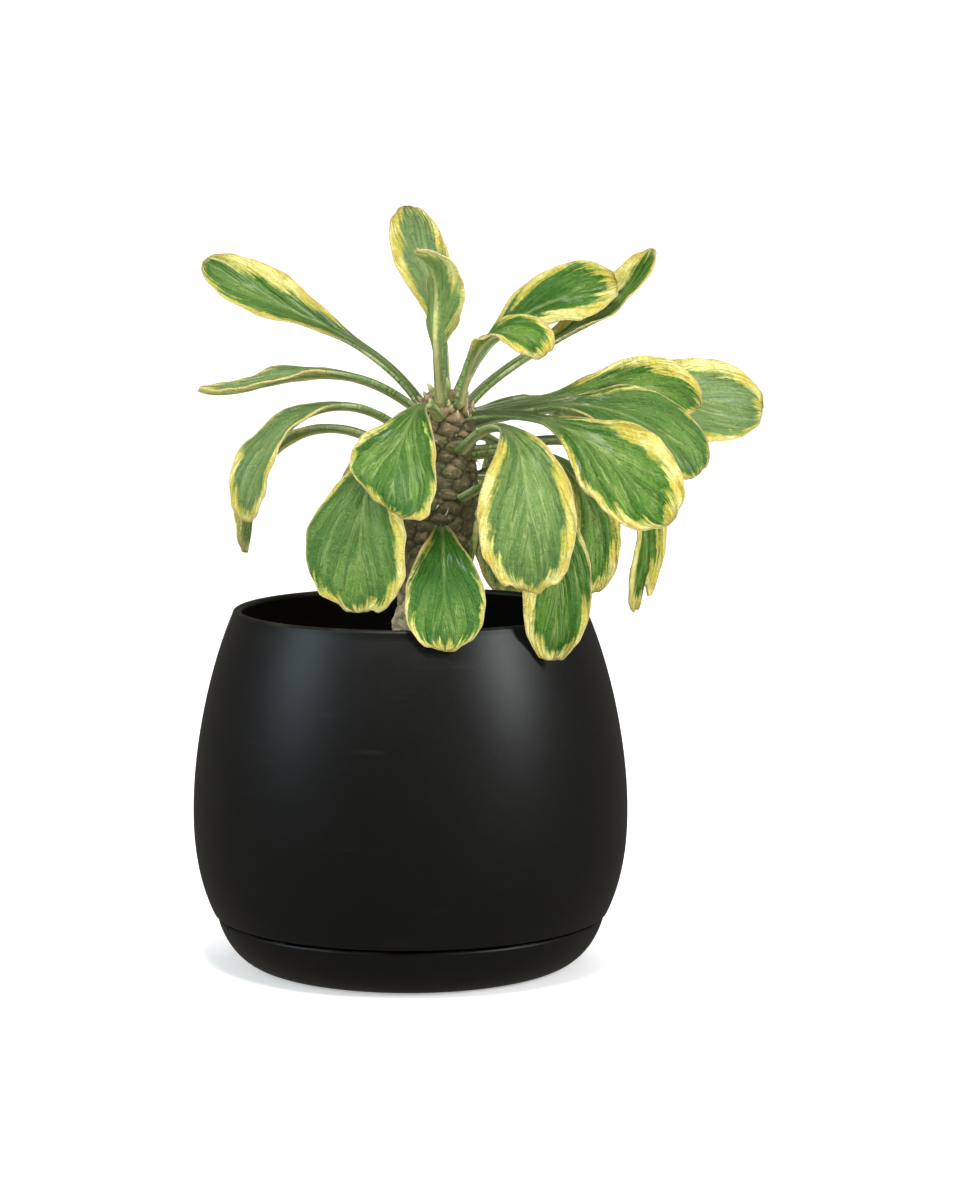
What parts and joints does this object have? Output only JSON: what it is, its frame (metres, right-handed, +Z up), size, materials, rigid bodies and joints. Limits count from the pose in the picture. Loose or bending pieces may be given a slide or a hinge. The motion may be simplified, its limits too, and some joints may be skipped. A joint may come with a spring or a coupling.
{
  "type": "potted euphorbia",
  "caption": "Stout-stemmed euphorbia with long spoon-shaped variegated leaves, in a round black pot that nests in its own saucer.",
  "frame": {"origin": "centre of the saucer's flat underside, on the surface that the pot stands on", "axes": "+Z up, along the pot's axis; the front faces -Y and +X is the viewer's right from the front"},
  "size_m": [0.2667, 0.2004, 0.3474],
  "materials": {
    "pot_black": "satin matte near-black plastic",
    "soil": "loose dark potting mix with bark and pumice grains",
    "stem_bark": "warty brown-tan succulent bark with leaf scars and thin curled spines",
    "leaf": "fleshy mid-green leaf with cream and yellow margins and a soft sheen"
  },
  "bodies": {
    "root": {"saucer": "pot_black", "pot": "pot_black", "soil": "soil", "stem": "stem_bark", "leaf_upright_back": "leaf", "leaf_upright_front": "leaf", "leaf_right_upper": "leaf", "leaf_right_curled": "leaf", "leaf_right_tall": "leaf", "leaf_right_high": "leaf", "leaf_right_long": "leaf", "leaf_right_middle": "leaf", "leaf_right_broad": "leaf", "leaf_front_right": "leaf", "leaf_front_right_low": "leaf", "leaf_right_hanging": "leaf", "leaf_right_hanging_outer": "leaf", "leaf_front_low": "leaf", "leaf_front_left": "leaf", "leaf_front_left_low": "leaf", "leaf_left_arching": "leaf", "leaf_left_arching_back": "leaf", "leaf_left_level": "leaf", "leaf_left_upper": "leaf", "leaf_back_left": "leaf", "leaf_back_left_inner": "leaf", "leaf_back_middle": "leaf", "leaf_back_right": "leaf", "leaf_back_right_high": "leaf", "leaf_back_right_low": "leaf"}
  },
  "joints": []
}
